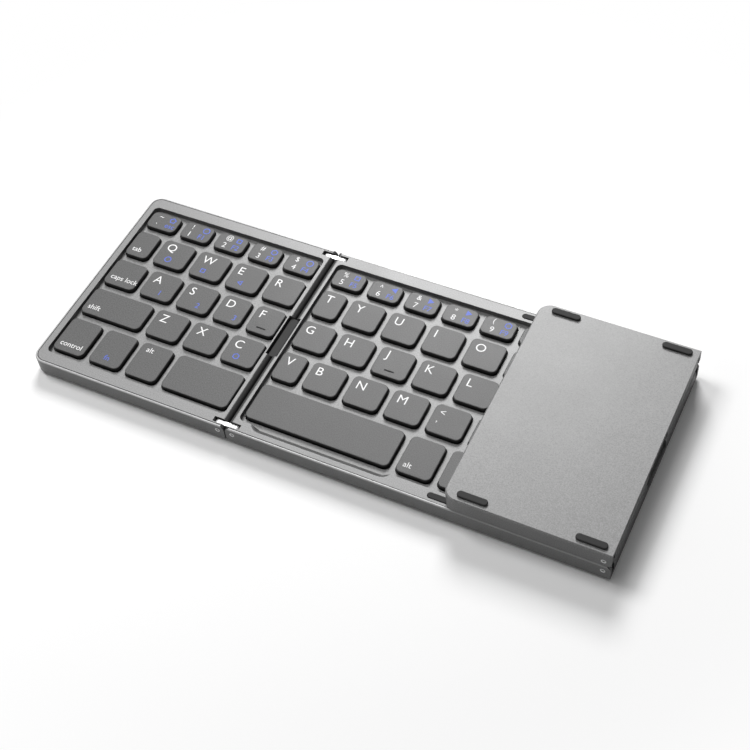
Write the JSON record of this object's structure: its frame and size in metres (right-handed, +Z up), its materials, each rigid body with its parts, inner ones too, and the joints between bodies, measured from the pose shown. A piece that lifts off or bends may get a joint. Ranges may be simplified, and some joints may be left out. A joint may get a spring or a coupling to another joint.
{
  "type": "folding keyboard",
  "caption": "Pocket keyboard that folds in three: a main key panel, a left key panel lying open and a touchpad panel folded face down, joined by hinges with short link plates.",
  "frame": {"origin": "centre of the standing footprint's bounding box, at the level of the soles of the feet", "axes": "+X along the width towards the folded touchpad panel, +Y towards the rear edge, +Z up"},
  "size_m": [0.24, 0.096, 0.0172],
  "materials": {
    "casing": "fine bead-blasted grey",
    "frame": "satin metallic silver",
    "keys": "matt dark grey, black sides",
    "touch_surface": "smooth matt",
    "foot_rubber": "matt black",
    "dome_rubber": "translucent grey",
    "circuit_board": "solder mask",
    "battery_wrap": "foil pouch",
    "cable_sleeve": "matt black",
    "link_metal": "bright plated",
    "steel": "plain"
  },
  "bodies": {
    "main_body": {"main_bottom_shell": "casing", "main_key_frame": "frame", "main_circuit_board": "circuit_board", "main_dome_sheet": "dome_rubber", "charging_socket": "steel", "main_feet": "foot_rubber", "rim_bumpers": "foot_rubber", "main_case_screws": "steel", "main_hinge_pins": "steel", "left_flex_cable": "cable_sleeve", "right_flex_cable": "cable_sleeve"},
    "left_links": {"left_hinge_links": "link_metal"},
    "left_panel": {"left_bottom_shell": "casing", "left_key_frame": "frame", "left_circuit_board": "circuit_board", "left_dome_sheet": "dome_rubber", "left_feet": "foot_rubber", "left_case_screws": "steel", "left_hinge_pins": "steel"},
    "right_links": {"right_hinge_links": "link_metal"},
    "touchpad_panel": {"touchpad_bottom_shell": "casing", "touchpad_frame": "frame", "touchpad_surface": "touch_surface", "touchpad_board": "circuit_board", "battery": "battery_wrap", "touchpad_feet": "foot_rubber", "touchpad_case_screws": "steel", "touchpad_hinge_pins": "steel"},
    "key_backquote": {"key_backquote": "keys"},
    "key_1": {"key_1": "keys"},
    "key_2": {"key_2": "keys"},
    "key_3": {"key_3": "keys"},
    "key_4": {"key_4": "keys"},
    "key_tab": {"key_tab": "keys"},
    "key_q": {"key_q": "keys"},
    "key_w": {"key_w": "keys"},
    "key_e": {"key_e": "keys"},
    "key_r": {"key_r": "keys"},
    "key_caps": {"key_caps": "keys"},
    "key_a": {"key_a": "keys"},
    "key_s": {"key_s": "keys"},
    "key_d": {"key_d": "keys"},
    "key_f": {"key_f": "keys"},
    "key_left_shift": {"key_left_shift": "keys"},
    "key_z": {"key_z": "keys"},
    "key_x": {"key_x": "keys"},
    "key_c": {"key_c": "keys"},
    "key_control": {"key_control": "keys"},
    "key_function": {"key_function": "keys"},
    "key_alt": {"key_alt": "keys"},
    "left_space_bar": {"left_space_bar": "keys"},
    "main_number_keys": {"main_number_keys": "keys"},
    "main_upper_letter_keys": {"main_upper_letter_keys": "keys"},
    "main_home_keys": {"main_home_keys": "keys"},
    "main_lower_letter_keys": {"main_lower_letter_keys": "keys"},
    "main_space_bar": {"main_space_bar": "keys"},
    "main_modifier_keys": {"main_modifier_keys": "keys"},
    "arrow_keys": {"arrow_keys": "keys"},
    "left_click_button": {"left_click_button": "keys"},
    "right_click_button": {"right_click_button": "keys"}
  },
  "joints": [
    {"name": "fold_left_inner", "type": "hinge", "parent": "main_body", "child": "left_links", "pos_m": [-0.0291, 0, 0.0055], "axis": [0, 1, 0], "range_deg": [0, 90], "deforming": ["left_flex_cable"]},
    {"name": "fold_left_outer", "type": "hinge", "parent": "left_links", "child": "left_panel", "pos_m": [-0.0353, 0, 0.0055], "axis": [0, 1, 0], "range_deg": [0, 90], "deforming": ["left_flex_cable"]},
    {"name": "fold_right_inner", "type": "hinge", "parent": "main_body", "child": "right_links", "pos_m": [0.1171, 0, 0.0055], "axis": [0, 1, 0], "range_deg": [0, 90], "deforming": ["right_flex_cable"]},
    {"name": "fold_right_outer", "type": "hinge", "parent": "right_links", "child": "touchpad_panel", "pos_m": [0.1171, 0, 0.0117], "axis": [0, 1, 0], "range_deg": [0, 90], "deforming": ["right_flex_cable"]},
    {"name": "press_key_backquote", "type": "slide", "parent": "left_panel", "child": "key_backquote", "axis": [0, 0, -1], "range_m": [0, 0.0012], "stiffness_N_per_m": 460, "deforming": ["left_dome_sheet"]},
    {"name": "press_key_1", "type": "slide", "parent": "left_panel", "child": "key_1", "axis": [0, 0, -1], "range_m": [0, 0.0012], "stiffness_N_per_m": 460, "deforming": ["left_dome_sheet"]},
    {"name": "press_key_2", "type": "slide", "parent": "left_panel", "child": "key_2", "axis": [0, 0, -1], "range_m": [0, 0.0012], "stiffness_N_per_m": 460, "deforming": ["left_dome_sheet"]},
    {"name": "press_key_3", "type": "slide", "parent": "left_panel", "child": "key_3", "axis": [0, 0, -1], "range_m": [0, 0.0012], "stiffness_N_per_m": 460, "deforming": ["left_dome_sheet"]},
    {"name": "press_key_4", "type": "slide", "parent": "left_panel", "child": "key_4", "axis": [0, 0, -1], "range_m": [0, 0.0012], "stiffness_N_per_m": 460, "deforming": ["left_dome_sheet"]},
    {"name": "press_key_tab", "type": "slide", "parent": "left_panel", "child": "key_tab", "axis": [0, 0, -1], "range_m": [0, 0.0012], "stiffness_N_per_m": 460, "deforming": ["left_dome_sheet"]},
    {"name": "press_key_q", "type": "slide", "parent": "left_panel", "child": "key_q", "axis": [0, 0, -1], "range_m": [0, 0.0012], "stiffness_N_per_m": 460, "deforming": ["left_dome_sheet"]},
    {"name": "press_key_w", "type": "slide", "parent": "left_panel", "child": "key_w", "axis": [0, 0, -1], "range_m": [0, 0.0012], "stiffness_N_per_m": 460, "deforming": ["left_dome_sheet"]},
    {"name": "press_key_e", "type": "slide", "parent": "left_panel", "child": "key_e", "axis": [0, 0, -1], "range_m": [0, 0.0012], "stiffness_N_per_m": 460, "deforming": ["left_dome_sheet"]},
    {"name": "press_key_r", "type": "slide", "parent": "left_panel", "child": "key_r", "axis": [0, 0, -1], "range_m": [0, 0.0012], "stiffness_N_per_m": 460, "deforming": ["left_dome_sheet"]},
    {"name": "press_key_caps", "type": "slide", "parent": "left_panel", "child": "key_caps", "axis": [0, 0, -1], "range_m": [0, 0.0012], "stiffness_N_per_m": 460, "deforming": ["left_dome_sheet"]},
    {"name": "press_key_a", "type": "slide", "parent": "left_panel", "child": "key_a", "axis": [0, 0, -1], "range_m": [0, 0.0012], "stiffness_N_per_m": 460, "deforming": ["left_dome_sheet"]},
    {"name": "press_key_s", "type": "slide", "parent": "left_panel", "child": "key_s", "axis": [0, 0, -1], "range_m": [0, 0.0012], "stiffness_N_per_m": 460, "deforming": ["left_dome_sheet"]},
    {"name": "press_key_d", "type": "slide", "parent": "left_panel", "child": "key_d", "axis": [0, 0, -1], "range_m": [0, 0.0012], "stiffness_N_per_m": 460, "deforming": ["left_dome_sheet"]},
    {"name": "press_key_f", "type": "slide", "parent": "left_panel", "child": "key_f", "axis": [0, 0, -1], "range_m": [0, 0.0012], "stiffness_N_per_m": 460, "deforming": ["left_dome_sheet"]},
    {"name": "press_key_left_shift", "type": "slide", "parent": "left_panel", "child": "key_left_shift", "axis": [0, 0, -1], "range_m": [0, 0.0012], "stiffness_N_per_m": 460, "deforming": ["left_dome_sheet"]},
    {"name": "press_key_z", "type": "slide", "parent": "left_panel", "child": "key_z", "axis": [0, 0, -1], "range_m": [0, 0.0012], "stiffness_N_per_m": 460, "deforming": ["left_dome_sheet"]},
    {"name": "press_key_x", "type": "slide", "parent": "left_panel", "child": "key_x", "axis": [0, 0, -1], "range_m": [0, 0.0012], "stiffness_N_per_m": 460, "deforming": ["left_dome_sheet"]},
    {"name": "press_key_c", "type": "slide", "parent": "left_panel", "child": "key_c", "axis": [0, 0, -1], "range_m": [0, 0.0012], "stiffness_N_per_m": 460, "deforming": ["left_dome_sheet"]},
    {"name": "press_key_control", "type": "slide", "parent": "left_panel", "child": "key_control", "axis": [0, 0, -1], "range_m": [0, 0.0012], "stiffness_N_per_m": 460, "deforming": ["left_dome_sheet"]},
    {"name": "press_key_function", "type": "slide", "parent": "left_panel", "child": "key_function", "axis": [0, 0, -1], "range_m": [0, 0.0012], "stiffness_N_per_m": 460, "deforming": ["left_dome_sheet"]},
    {"name": "press_key_alt", "type": "slide", "parent": "left_panel", "child": "key_alt", "axis": [0, 0, -1], "range_m": [0, 0.0012], "stiffness_N_per_m": 460, "deforming": ["left_dome_sheet"]},
    {"name": "press_left_space_bar", "type": "slide", "parent": "left_panel", "child": "left_space_bar", "axis": [0, 0, -1], "range_m": [0, 0.0012], "stiffness_N_per_m": 460, "deforming": ["left_dome_sheet"]},
    {"name": "press_main_number_keys", "type": "slide", "parent": "main_body", "child": "main_number_keys", "axis": [0, 0, -1], "range_m": [0, 0.0012], "stiffness_N_per_m": 4140, "deforming": ["main_dome_sheet"]},
    {"name": "press_main_upper_letter_keys", "type": "slide", "parent": "main_body", "child": "main_upper_letter_keys", "axis": [0, 0, -1], "range_m": [0, 0.0012], "stiffness_N_per_m": 4140, "deforming": ["main_dome_sheet"]},
    {"name": "press_main_home_keys", "type": "slide", "parent": "main_body", "child": "main_home_keys", "axis": [0, 0, -1], "range_m": [0, 0.0012], "stiffness_N_per_m": 3680, "deforming": ["main_dome_sheet"]},
    {"name": "press_main_lower_letter_keys", "type": "slide", "parent": "main_body", "child": "main_lower_letter_keys", "axis": [0, 0, -1], "range_m": [0, 0.0012], "stiffness_N_per_m": 3680, "deforming": ["main_dome_sheet"]},
    {"name": "press_main_space_bar", "type": "slide", "parent": "main_body", "child": "main_space_bar", "axis": [0, 0, -1], "range_m": [0, 0.0012], "stiffness_N_per_m": 460, "deforming": ["main_dome_sheet"]},
    {"name": "press_main_modifier_keys", "type": "slide", "parent": "main_body", "child": "main_modifier_keys", "axis": [0, 0, -1], "range_m": [0, 0.0012], "stiffness_N_per_m": 920, "deforming": ["main_dome_sheet"]},
    {"name": "press_arrow_keys", "type": "slide", "parent": "main_body", "child": "arrow_keys", "axis": [0, 0, -1], "range_m": [0, 0.0012], "stiffness_N_per_m": 1840, "deforming": ["main_dome_sheet"]},
    {"name": "press_left_click_button", "type": "slide", "parent": "touchpad_panel", "child": "left_click_button", "axis": [0, 0, 1], "range_m": [0, 0.0004], "stiffness_N_per_m": 2000},
    {"name": "press_right_click_button", "type": "slide", "parent": "touchpad_panel", "child": "right_click_button", "axis": [0, 0, 1], "range_m": [0, 0.0004], "stiffness_N_per_m": 2000}
  ]
}
